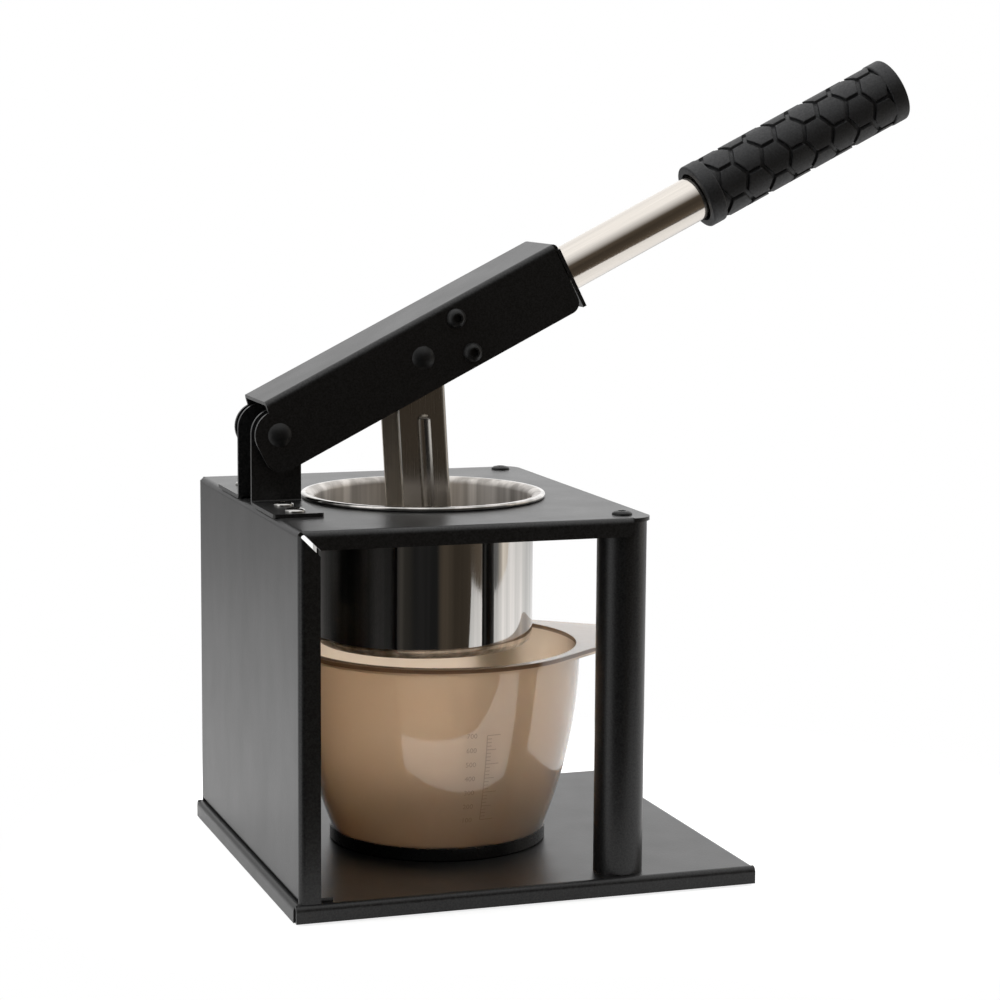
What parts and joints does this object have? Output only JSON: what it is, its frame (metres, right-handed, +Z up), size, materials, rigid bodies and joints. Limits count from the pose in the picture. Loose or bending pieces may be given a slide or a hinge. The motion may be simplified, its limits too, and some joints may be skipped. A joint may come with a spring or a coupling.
{
  "type": "lever citrus juicer",
  "caption": "Table-top lever press for citrus: steel frame, hinged lever with rubber grip, stem and disc, strainer cup and measuring jug.",
  "frame": {"origin": "middle of the bounding box, on the table under the rubber feet", "axes": "+X along the lever from its pivot to the grip, +Y to the back, +Z up"},
  "size_m": [0.3824, 0.228, 0.4326],
  "materials": {
    "powder_black": "satin powder coat, fine texture",
    "black_screw": "black oxide",
    "zinc": "zinc plated",
    "bright_steel": "bright",
    "stainless": "brushed",
    "polished_steel": "polished",
    "socket_aluminium": "machined",
    "nylon": "matte",
    "rubber": "matte",
    "smoked_plastic": "clear, smoke brown",
    "black_plastic": "satin"
  },
  "bodies": {
    "frame": {"base_plate": "powder_black", "rubber_feet": "rubber", "body_shell": "powder_black", "post_front": "powder_black", "post_back": "powder_black", "post_plugs": "zinc", "post_top_screws": "black_screw", "post_bottom_screws": "black_screw", "wall_screws": "zinc", "wall_nuts": "zinc", "bracket_front": "powder_black", "bracket_back": "powder_black", "bracket_screws": "bright_steel", "bracket_nuts": "zinc"},
    "lever": {"lever_channel": "powder_black", "pivot_pin": "powder_black", "pivot_spacers": "nylon", "stem_pin": "powder_black", "stem_spacers": "nylon", "tube_socket": "socket_aluminium", "handle_bolts": "black_screw", "handle_nuts": "zinc", "handle_tube": "polished_steel", "handle_grip": "rubber"},
    "pusher": {"pusher_stem": "stainless", "pusher_disc": "stainless"},
    "cup": {"strainer_cup": "stainless"},
    "jug": {"jug_body": "smoked_plastic", "jug_base_ring": "black_plastic"}
  },
  "joints": [
    {"name": "lever_pivot", "type": "hinge", "parent": "frame", "child": "lever", "pos_m": [-0.17519, 0, 0.2352], "axis": [0, 1, 0], "range_deg": [-18, 27]},
    {"name": "stem_pivot", "type": "hinge", "parent": "lever", "child": "pusher", "pos_m": [-0.09749, 0, 0.27367], "axis": [0, 1, 0], "range_deg": [-19, 13]},
    {"name": "cup_lift", "type": "slide", "parent": "frame", "child": "cup", "axis": [0, 0, 1], "range_m": [0, 0.004]},
    {"name": "jug_slide", "type": "slide", "parent": "frame", "child": "jug", "axis": [1, 0, 0], "range_m": [0, 0.17]}
  ],
  "couplings": [
    {"joint": "stem_pivot", "follows": "lever_pivot", "ratio": -0.7}
  ]
}
